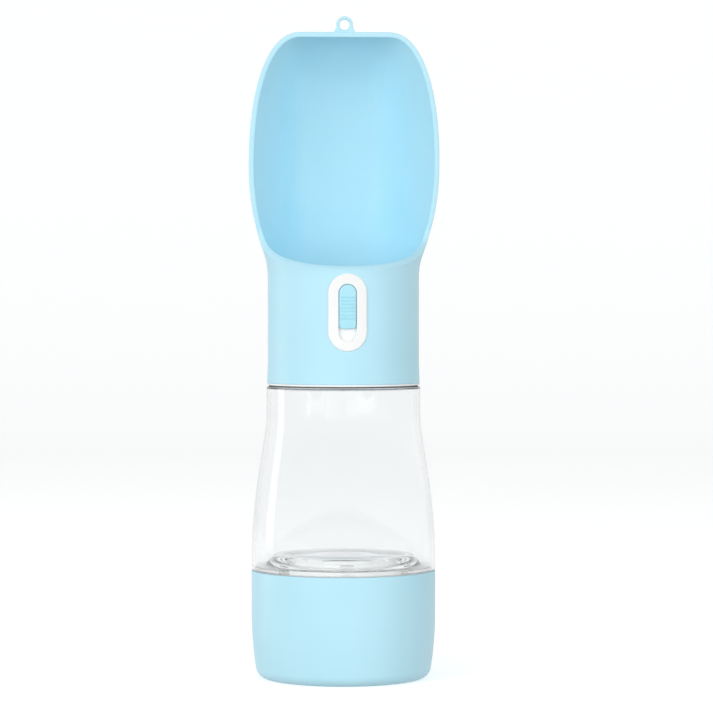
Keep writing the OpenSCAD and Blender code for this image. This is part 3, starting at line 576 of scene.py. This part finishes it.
# Rows that carry the top row forward to the rim: y = rim + (y - rim) f, with f from 1 to 0
def topCap(row, steps=7):
    f = (1 - np.linspace(0, 1, steps)[1:])[:, None]
    y = row[0, 1] + (row[None, :, 1] - row[0, 1]) * f
    return np.stack([np.broadcast_to(row[:, 0], y.shape), y, np.broadcast_to(row[:, 2], y.shape)], -1)


outerOpen = np.concatenate([outerOpen, topCap(outerOpen[-1])])
innerOpen = np.concatenate([innerOpen, topCap(innerOpen[-1])])

# Inside, from the lip down: floor fillet, floor with its off-centre port, underside, bore, skirt
lipInner = scoop["neck"] + 0.1 - scoop["wall"]
q = np.radians(np.linspace(0, 90, 8))
floorR = lipInner - scoop["fillet"]
filletRows = [(0, floorR + scoop["fillet"] * math.cos(a), scoop["deck"] + scoop["fillet"] * (1 - math.sin(a)))
    for a in q]
share = np.linspace(0, 1, 12)[1:]
portRound = scoop["portRound"]
portEdge = scoop["port"] + portRound
deckRows = [(scoop["portY"] * f, floorR + (portEdge - floorR) * f, scoop["deck"]) for f in share]
portRows = [(scoop["portY"], scoop["port"] + portRound * (1 - math.sin(a)),
    scoop["deck"] - portRound * (1 - math.cos(a))) for a in q[1:]]
underShare = np.linspace(0, 1, 6)[1:]
underRows = [(scoop["portY"], scoop["port"], scoop["deckUnder"])] + [(scoop["portY"] * (1 - f),
    scoop["port"] + (scoop["bore"] - scoop["port"]) * f, scoop["deckUnder"]) for f in underShare]
slotLow, slotHigh = 144.5, 152.4
neckZ = np.concatenate([np.linspace(scoop["ledge"], slotLow, 11), np.linspace(slotLow, slotHigh, 9)[1:],
    np.linspace(slotHigh, scoop["deckUnder"], 12)[1:]])
boreRows = [(0, scoop["bore"], z) for z in neckZ[::-1][1:]]
skirtZ = np.linspace(scoop["ledge"], scoop["skirtZ"] + 0.4, 48)
skirtRows = [(0, scoop["skirtBore"], z) for z in skirtZ]
edgeOuter = scoop["neck"] + scoop["flare"]
edgeRows = [(0, scoop["skirtBore"] + 0.12, scoop["skirtZ"] + 0.12),
    (0, scoop["skirtBore"] + 0.4, scoop["skirtZ"]), (0, edgeOuter - 0.4, scoop["skirtZ"]),
    (0, edgeOuter - 0.12, scoop["skirtZ"] + 0.1)]
neckLowZ = np.concatenate([[scoop["skirtZ"] + 0.35],
    np.linspace(scoop["skirtZ"] + 1, scoop["ledge"], 14)[:-1]])
outerZ = np.concatenate([neckLowZ, neckZ, [scoop["deckUnder"] + 0.7, scoop["deckUnder"] + 1.4]])
outerRows = [(0, scoop["neck"] + scoop["flare"] * max(0, 1 - (z - scoop["skirtZ"]) / 8), z) for z in outerZ]
innerChain = levelCircles(filletRows + deckRows + portRows + underRows + boreRows, t)
skirtChain = levelCircles(skirtRows, t)
addThread(skirtChain, -1, scoop["threadLow"], scoop["threadHigh"], scoop["threadProud"], tank["lead"], 0.5)
outerNeck = levelCircles(outerRows, t)

# Bezel seat: a dent under the white bezel, measured inwards from the bezel's round-ended outline
bezel = {"width": 15.6, "low": 133.75, "high": 164.85, "face": 31.4, "seat": 28.95, "dent": 1.95,
    "dentStart": 0.5, "dentSlope": 2.2, "trackWidth": 7.2, "trackLow": 137.8, "trackHigh": 160.6,
    "trackFloor": 29.9, "edge": 0.5, "trackEdge": 0.35, "slotHalf": 2.15, "slotLow": 144.55,
    "slotHigh": 152.35}
spineX, spineZ = outerNeck[..., 0], outerNeck[..., 2]
spineEnd = bezel["width"] / 2
offSpine = spineZ - np.clip(spineZ, bezel["low"] + spineEnd, bezel["high"] - spineEnd)
within = spineEnd - np.hypot(spineX, offSpine)
dent = bezel["dent"] * ease((within - bezel["dentStart"]) / bezel["dentSlope"]) * (outerNeck[..., 1] < 0)
outerNeck[..., :2] *= 1 - dent[..., None] / scoop["neck"]

startShares = np.array([0.25, 0.6]) * scoop["lipShare"]
chain = np.concatenate([innerOpen[::-1], innerChain, skirtChain, levelCircles(edgeRows, t), outerNeck,
    scoopSkin(startShares, t, 0.0), outerOpen])
cols = 2 * half + 1
chainFaces = gridFaces(len(chain), cols)

# The arm's slot through the neck: its quads leave both skins, and four walls join the two edges. It
# spans the rows of neckZ from slotLow to slotHigh, and slotCols columns to each side of the front.
boreStart = len(innerOpen) + len(filletRows + deckRows + portRows + underRows) - 1
outerStart = len(innerOpen) + len(innerChain) + len(skirtChain) + len(edgeRows) + len(neckLowZ)
slotRows = range(10, 19)
slotCols = 2


def boreRow(k):
    return boreStart + (len(neckZ) - 1 - k)


def outerRow(k):
    return outerStart + k


rowOf, colOf = chainFaces.min(axis=1) // cols, chainFaces.min(axis=1) % cols
nearFront = (colOf < slotCols) | (colOf >= cols - 1 - slotCols)
inBore = (rowOf >= boreRow(slotRows[-1])) & (rowOf < boreRow(slotRows[0]))
inOuter = (rowOf >= outerRow(slotRows[0])) & (rowOf < outerRow(slotRows[-1]))
chainFaces = chainFaces[~(nearFront & (inBore | inOuter))]
across = [c % (cols - 1) for c in range(-slotCols, slotCols + 1)]
loop = ([(slotRows[0], c) for c in across] + [(k, across[-1]) for k in slotRows[1:]]
    + [(slotRows[-1], c) for c in across[::-1][1:]] + [(k, across[0]) for k in slotRows[::-1][1:-1]])
outerLoop = np.array([outerRow(k) * cols + c for k, c in loop])
boreLoop = np.array([boreRow(k) * cols + c for k, c in loop])
slotFaces = np.stack([outerLoop, np.roll(outerLoop, -1), np.roll(boreLoop, -1), boreLoop], -1)


# Path of a skin's open edge: up the left side, along the top and down the right side
def edgePath(skin):
    return np.concatenate([skin[:openRows, 0], skin[-1, 1:-1], skin[openRows - 1:0:-1, -1]])


# Rounded rim: mid + half * c + normal * bulge * s, with c and s a squared half circle from skin to skin
outerEdge, innerEdge = edgePath(outerOpen), edgePath(innerOpen)
middle, reach = (outerEdge + innerEdge) / 2, (outerEdge - innerEdge) / 2
along = np.roll(middle, -1, 0) - np.roll(middle, 1, 0)
normal = np.cross(along, reach)
normal /= np.linalg.norm(normal, axis=1)[:, None]
normal *= -np.sign(normal[:, 1].mean())
a = np.linspace(0, np.pi, 13)[None, :, None]
rim = (middle[:, None] + reach[:, None] * np.sign(np.cos(a)) * np.abs(np.cos(a)) ** scoop["rimPower"]
    + normal[:, None] * scoop["rimBulge"] * np.abs(np.sin(a)) ** scoop["rimPower"])
rimShell = (rim, gridFaces(len(rim), 13, True, False))

# Hanging loop: section a rounded rectangle round a hole, from the hole out to a flared foot
loopSize = {"centre": (0.0, -9.0, 265.2), "bore": 2.1, "outer": 3.4, "halfDepth": 1.2, "footHalf": 4.8,
    "footDrop": 4.0, "footFlare": [[4.4, -3.0], [3.95, -2.3], [3.6, -1.55]]}
arc = np.radians(np.linspace(-15, 195, 43))
rightFoot = np.array([[loopSize["footHalf"], -loopSize["footDrop"]]] + loopSize["footFlare"])
outline = np.concatenate([rightFoot, loopSize["outer"] * np.stack([np.cos(arc), np.sin(arc)], -1),
    (rightFoot * [-1, 1])[::-1], np.stack([np.linspace(-1, 1, 9)[1:-1] * loopSize["footHalf"],
        np.full(7, -loopSize["footDrop"])], -1)])
outR = np.linalg.norm(outline, axis=1)[:, None]
aimOut = outline / outR
b = np.linspace(0, 2 * np.pi, 20, endpoint=False)[None, :]
box = lambda c: np.sign(c) * np.abs(c) ** 0.45
radial = (outR + loopSize["bore"]) / 2 + (outR - loopSize["bore"]) / 2 * box(np.cos(b))
cx, cy, cz = loopSize["centre"]
loopPoints = np.stack([cx + aimOut[:, :1] * radial, cy + loopSize["halfDepth"] * box(np.sin(b)) + 0 * radial,
    cz + aimOut[:, 1:] * radial], -1)
loopShell = (loopPoints, gridFaces(len(outline), 20, True, True))

# Inside the neck: the spool's sleeve, and three bosses for the housing's screws on one circle
sleeve = {"inner": 7.2, "outer": 9.2, "low": 152.65, "high": 163.3, "roundLow": 0.2, "roundHigh": 0}
boss = {"inner": 1.3, "outer": 3.2, "low": 134.2, "high": 163.3, "roundLow": 0.15, "footRound": 0.2,
    "roundHigh": 0, "circle": 21.8}
sleeveShell = softRing(sleeve, (0, scoop["portY"]), 64)
bossShells = [softRing(boss, (boss["circle"] * math.cos(math.radians(d)),
    boss["circle"] * math.sin(math.radians(d))), 40) for d in (90, 210, 330)]
makePiece("scoopHead", [(chain, np.concatenate([chainFaces, slotFaces])), rimShell, loopShell, sleeveShell]
    + bossShells, satinAbs, "head", ["scoop_head"], 40)
print("head made")


# Upright outline of straight sides and four equal arcs, from the bottom round to the right: (x, z)
def plateOutline(halfWidth, low, high, corner, arcSteps=14, sideSteps=18):
    a = np.radians(np.linspace(0, 90, arcSteps + 1))
    straight = halfWidth - corner
    side = np.linspace(low + corner, high - corner, sideSteps + 2)[1:-1]
    right = np.concatenate([
        np.stack([straight + corner * np.sin(a), low + corner - corner * np.cos(a)], -1),
        np.stack([np.full(sideSteps, halfWidth), side], -1),
        np.stack([straight + corner * np.cos(a), high - corner + corner * np.sin(a)], -1)])
    return np.concatenate([right, (right * [-1, 1])[::-1]])


# Upright outlines (x, z), each at its own radius, bent onto the neck: y = -sqrt(r^2 - x^2)
def bentRings(rings):
    outlines = np.stack([o for o, _ in rings])
    r = np.array([radius for _, radius in rings])[:, None]
    x, z = outlines[..., 0], outlines[..., 1]
    return np.stack([x, -np.sqrt(r ** 2 - x ** 2), z], -1)


# Ring of the bezel at an inset from its outside, from its track, or part of the way between the two
def bezelRing(share, inset=0.0, grow=0.0):
    outer = np.array([bezel["width"] / 2 - inset, bezel["low"] + inset, bezel["high"] - inset])
    track = np.array([bezel["trackWidth"] / 2 + grow, bezel["trackLow"] - grow, bezel["trackHigh"] + grow])
    halfWidth, low, high = outer + (track - outer) * share
    return plateOutline(halfWidth, low, high, halfWidth - 0.01)


# The bezel's rings, one after another: the slot's edge, the track's floor and wall, its soft edge,
# the face, the outer edge, the outer wall, and the back up to the slot again
face, edge, inEdge, trackFloor = bezel["face"], bezel["edge"], bezel["trackEdge"], bezel["trackFloor"]
q = np.radians(np.linspace(0, 90, 7))
slotOutline = plateOutline(bezel["slotHalf"], bezel["slotLow"], bezel["slotHigh"], 0.3)
outerRing, trackRing = bezelRing(0.0), bezelRing(1.0)
faceOuter, faceInner = bezelRing(0.0, edge), bezelRing(1.0, grow=inEdge)
rings = [(trackRing + (slotOutline - trackRing) * f, trackFloor) for f in (1.0, 0.66, 0.33)]
rings += [(trackRing, r) for r in (trackFloor, trackFloor + 0.5, face - inEdge - 0.15)]
rings += [(bezelRing(1.0, grow=inEdge * (1 - math.cos(a))), face - inEdge + inEdge * math.sin(a)) for a in q]
rings += [(faceInner + (faceOuter - faceInner) * f, face) for f in (0.2, 0.4, 0.6, 0.8)]
rings += [(bezelRing(0.0, edge * (1 - math.sin(a))), face - edge * (1 - math.cos(a))) for a in q]
rings += [(outerRing, r) for r in (face - edge - 0.3, bezel["seat"])]
rings += [(outerRing + (slotOutline - outerRing) * f, bezel["seat"]) for f in (0.25, 0.5, 0.75, 1.0)]
bezelPoints = bentRings(rings)
makePiece("bezel", [(bezelPoints, gridFaces(*bezelPoints.shape[:2], True, True))], whiteAbs,
    "head", ["bezel"], 40)

# Slider's cap: rows up its height and points across, with a round top, small corners below, a
# rounded edge and the ribs for the thumb
cap = {"half": 3.4, "low": 142.75, "high": 160.45, "corner": 1.6, "face": 31.7, "inner": 30.0, "edge": 0.45,
    "ribs": 7, "pitch": 1.4, "firstRib": 147.0, "proud": 0.4, "ribPower": 1.5, "ribHalf": 2.9,
    "ribEnd": 0.35, "rows": 171, "columns": 45}
half, low, high, foot, soft = cap["half"], cap["low"], cap["high"], cap["corner"], cap["edge"]
# rows lie closer together towards both ends
b = np.linspace(-1, 1, cap["rows"])
z = (low + high) / 2 + (high - low) / 2 * (0.75 * b + 0.25 * np.sin(np.pi / 2 * b))
highCentre, lowCentre = high - half, low + foot
topWidth = np.sqrt(np.clip(half ** 2 - (z - highCentre) ** 2, 0, None))
lowWidth = half - foot + np.sqrt(np.clip(foot ** 2 - (z - lowCentre) ** 2, 0, None))
width = np.where(z > highCentre, topWidth, np.where(z < lowCentre, lowWidth, half))
x = width[:, None] * np.sin(np.pi / 2 * np.linspace(-1, 1, cap["columns"]))[None, :]
z = z[:, None] + 0 * x
# how far each point lies inside the outline, and how far it falls back there for the soft edge
inTop = half - np.hypot(x, np.maximum(z - highCentre, 0))
inCorner = foot - np.hypot(np.maximum(np.abs(x) - half + foot, 0), np.maximum(lowCentre - z, 0))
inLow = np.where(z < lowCentre, np.minimum(inCorner, z - low), inTop)
rimIn = np.clip(np.where(z > highCentre, inTop, inLow), 0, soft)
fall = soft - np.sqrt(np.clip(soft ** 2 - (soft - rimIn) ** 2, 0, None))
# ribs: proud * (0.5 + 0.5 cos(2 pi (z - firstRib) / pitch))^ribPower, ended short of the sides
wave = (0.5 + 0.5 * np.cos(2 * np.pi * (z - cap["firstRib"]) / cap["pitch"])) ** cap["ribPower"]
onRibs = ((z > cap["firstRib"] - cap["pitch"] / 2)
    & (z < cap["firstRib"] + (cap["ribs"] - 0.5) * cap["pitch"]))
r = cap["face"] - fall + cap["proud"] * wave * onRibs * ease((cap["ribHalf"] - np.abs(x)) / cap["ribEnd"])
front = np.stack([x, -np.sqrt(r ** 2 - x ** 2), z], -1)
back = np.stack([x, -np.sqrt(cap["inner"] ** 2 - x ** 2), z], -1)


# Two equal grids, front and back, joined round their edges into one closed slab
def slab(front, back):
    rows, cols = front.shape[:2]
    number = np.arange(rows * cols).reshape(rows, cols)
    edge = np.concatenate([number[0], number[1:, -1], number[-1, :-1][::-1], number[1:-1, 0][::-1]])
    wall = np.stack([edge, np.roll(edge, -1), np.roll(edge, -1) + rows * cols, edge + rows * cols], -1)
    faces = gridFaces(rows, cols)
    return np.concatenate([front.reshape(-1, 3), back.reshape(-1, 3)]), np.concatenate(
        [faces, faces[:, ::-1] + rows * cols, wall])


makePiece("sliderCap", [slab(front, back)], sliderAbs, "slider", ["slider_cap"], 45)

# Silicone plug: a flange that seals under the port, a nose that fills it, and a blind hole on the
# spool's tip. Points (r, z), from the hole out and up to the nose.
plugProfile = [[0, 163.1], [1.75, 163.1], [1.75, 160.9], [5.9, 160.9], [6.1, 161.0], [6.2, 161.2],
    [6.2, 162.9], [6.1, 163.1], [5.9, 163.2], [4.3, 163.2], [4.1, 163.35], [4.1, 164.2], [3.98, 164.55],
    [3.7, 164.75], [3.3, 164.8], [0, 164.8]]
makePiece("valvePlug", [revolve(plugProfile, (0, scoop["portY"]), 72)], softSilicone, "slider",
    ["valve_plug"])

# Return spring: round wire along a helix that lies level on its two seats, drawn at one length; in the bottle
# it shortens under the spool when the slider is pushed. A row without thickness closes each end of the wire.
spring = {"radius": 5.9, "wire": 0.7, "low": 133.86, "high": 141.29, "seat": 133.5, "turns": 4, "perTurn": 48,
    "sides": 12, "keep": 0.606}
u = np.linspace(0, 1, spring["turns"] * spring["perTurn"] + 1)
u = np.concatenate([[0], u, [1]])[:, None]
thick = np.full_like(u, spring["wire"] / 2)
thick[[0, -1]] = 0
a = 2 * np.pi * spring["turns"] * u
b = np.linspace(0, 2 * np.pi, spring["sides"], endpoint=False)[None, :]
r = spring["radius"] + thick * np.cos(b)
z = spring["low"] + (spring["high"] - spring["low"]) * ease((u - 0.1) / 0.8) + thick * np.sin(b)
springPoints = np.stack([r * np.cos(a), scoop["portY"] + r * np.sin(a), z], -1)
springPiece = makePiece("returnSpring", [(springPoints, gridFaces(len(u), spring["sides"], False, True))],
    drawnSteel, "head", ["return_spring"])
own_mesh(springPiece)
print("slider and spring made")

# CAD nodes that stay: the hidden valve with its screws and O-rings
kept = {"valve_housing": whiteAbs, "housing_screws": drawnSteel, "screw_washers": softSilicone,
    "carriage": whiteAbs, "valve_spool": whiteAbs, "upper_o_ring": nitrile, "lower_o_ring": nitrile}
for name, material in kept.items():
    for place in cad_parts[name].material_slots:
        place.material = material

# Studio, in metres: a round sheet of pale paper that bends up into a wall all round. It glows a
# little where it is seen, also through the tank and in gloss, but sheds no light on matt surfaces.
studio = {"floorRadius": 1.7, "wallRadius": 2.6, "wallHeight": 2.6, "steps": 96, "floor": "#EDEFF0",
    "rough": 0.9, "glow": 0.5, "sky": "#FFFFFF", "skyStrength": 0.42, "aimHeight": 0.17}
bend = np.radians(np.linspace(0, 90, 25))
gap = studio["wallRadius"] - studio["floorRadius"]
sweepR = np.concatenate([[0.0, 0.6, 1.2], studio["floorRadius"] + gap * np.sin(bend), [studio["wallRadius"]]])
sweepZ = np.concatenate([[0.0, 0.0, 0.0], gap * (1 - np.cos(bend)), [studio["wallHeight"]]])
sweepPoints, sweepFaces = revolve(np.stack([sweepR, sweepZ], -1), steps=studio["steps"])
sweepMesh = bpy.data.meshes.new("studioFloor")
sweepMesh.from_pydata(sweepPoints.reshape(-1, 3).tolist(), [], sweepFaces.tolist())
sweepMesh.polygons.foreach_set("use_smooth", np.ones(len(sweepMesh.polygons), bool))
paper = bpy.data.materials.new("mattPaperSweep")
paper.use_nodes = True
for key, value in {"Base Color": linear(studio["floor"]), "Roughness": studio["rough"],
        "Emission Color": linear(studio["sky"]), "Emission Strength": studio["glow"]}.items():
    paper.node_tree.nodes["Principled BSDF"].inputs[key].default_value = value
sweepMesh.materials.append(paper)
sweep = bpy.data.objects.new("studioFloor", sweepMesh)
bpy.context.scene.collection.objects.link(sweep)
sweep.visible_diffuse = False
sweep.visible_shadow = False
sweep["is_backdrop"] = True

world = bpy.data.worlds.new("softTent")
world.use_nodes = True
world.node_tree.nodes["Background"].inputs["Color"].default_value = linear(studio["sky"])
world.node_tree.nodes["Background"].inputs["Strength"].default_value = studio["skyStrength"]
bpy.context.scene.world = world

# Softboxes, all aimed just over the scoop's floor: name, place, width, height, watts, and whether
# gloss shows them
for name, place, width, height, watts, seen in [
        ("front", (-0.2, -1.9, 0.45), 1.4, 1.4, 5.5, False),
        ("sideLeft", (-1.25, -1.4, 0.42), 1.1, 1.3, 16.5, False),
        ("fillRight", (1.25, -1.4, 0.4), 1.0, 1.3, 11, False),
        ("edgeLeft", (-1.45, 0.5, 0.35), 0.4, 1.3, 3, True),
        ("topSoft", (0.0, 0.1, 1.3), 1.2, 1.2, 1.5, True)]:
    lamp = bpy.data.lights.new(name, "AREA")
    lamp.shape = "RECTANGLE"
    lamp.size = width
    lamp.size_y = height
    lamp.energy = watts
    box = bpy.data.objects.new(name, lamp)
    box.location = place
    way = Vector((0, 0, studio["aimHeight"])) - Vector(place)
    box.rotation_euler = way.to_track_quat("-Z", "Y").to_euler()
    box.visible_camera = False
    box.visible_transmission = False
    box.visible_glossy = seen
    bpy.context.scene.collection.objects.link(box)
bpy.context.scene.view_settings.view_transform = "Standard"
print("studio set")

low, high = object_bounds()
